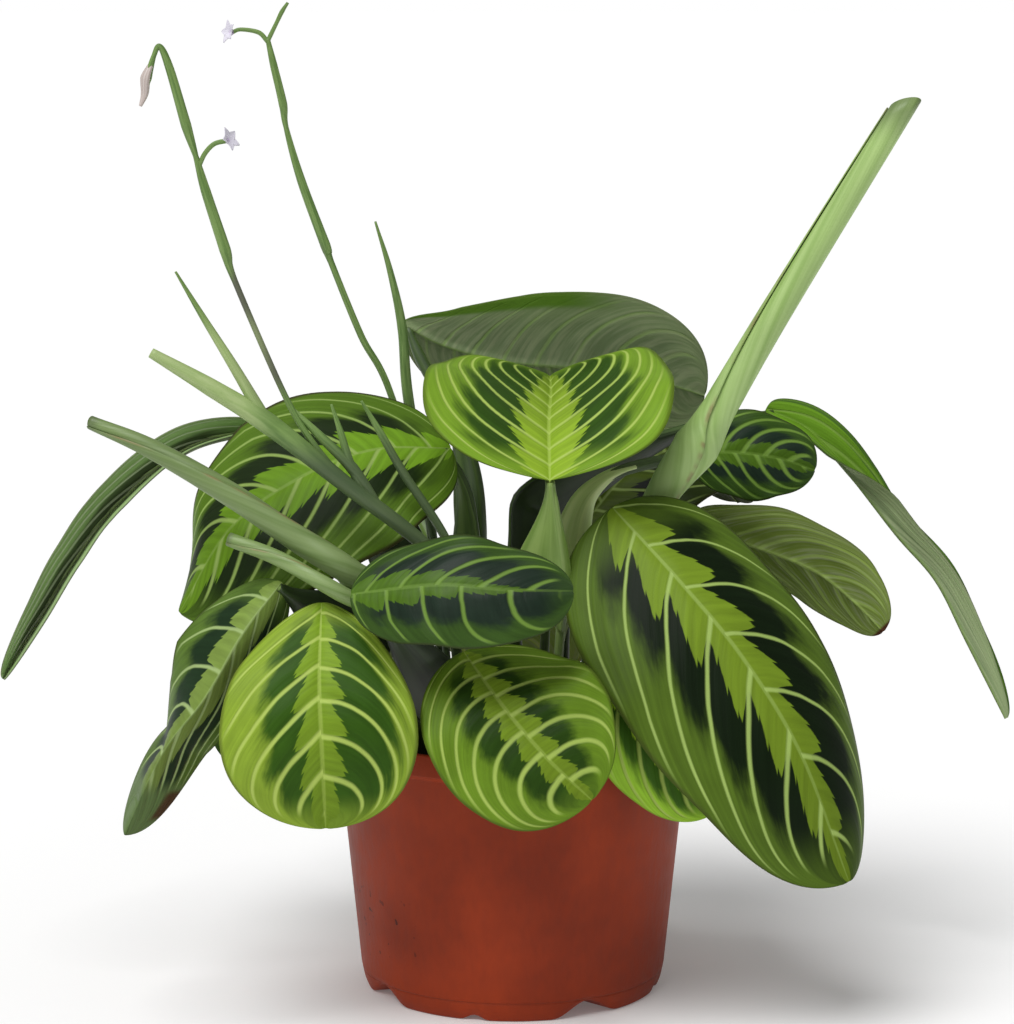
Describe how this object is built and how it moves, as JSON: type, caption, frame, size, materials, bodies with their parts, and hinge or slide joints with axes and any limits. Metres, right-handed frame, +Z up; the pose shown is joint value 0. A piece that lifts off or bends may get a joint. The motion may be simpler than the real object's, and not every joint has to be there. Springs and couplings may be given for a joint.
{
  "type": "potted prayer plant",
  "caption": "Prayer plant with broad drooping leaves marked by arched pale veins, rolled young leaves and thin flower stalks, growing in a round plastic nursery pot.",
  "frame": {"origin": "middle of the pot's underside, on the surface that the pot stands on", "axes": "+Z up from the pot's underside, +X to the right in the front view, which looks along +Y"},
  "size_m": [0.3487, 0.224, 0.3352],
  "materials": {
    "pot": "satin",
    "soil": "matte",
    "lime_leaf": "satin",
    "green_leaf": "satin",
    "dark_leaf": "satin",
    "rolled_leaf": "satin",
    "flower_stalk": "satin"
  },
  "bodies": {
    "root": {"pot": "pot", "soil": "soil", "leaf_front_left": "lime_leaf", "leaf_front_middle": "dark_leaf", "leaf_front_right": "lime_leaf", "leaf_right_large": "green_leaf", "leaf_centre_top": "lime_leaf", "leaf_back_top": "dark_leaf", "leaf_left_upper": "green_leaf", "leaf_left_hanging": "dark_leaf", "leaf_left_lower": "green_leaf", "leaf_left_under": "dark_leaf", "leaf_right_middle": "green_leaf", "leaf_right_upper": "dark_leaf", "leaf_right_hanging": "dark_leaf", "leaf_right_under": "lime_leaf", "leaf_right_low": "green_leaf", "leaf_back_right_low": "green_leaf", "leaf_back_right": "green_leaf", "leaf_back_low": "lime_leaf", "leaf_back_high": "green_leaf", "leaf_back_left_low": "dark_leaf", "leaf_back_left": "green_leaf", "rolled_leaf_right": "rolled_leaf", "rolled_leaf_left": "rolled_leaf", "rolled_leaf_small": "rolled_leaf", "flower_shoot_left": "flower_stalk", "flower_shoot_back": "flower_stalk", "pointed_shoot_back": "flower_stalk"}
  },
  "joints": []
}
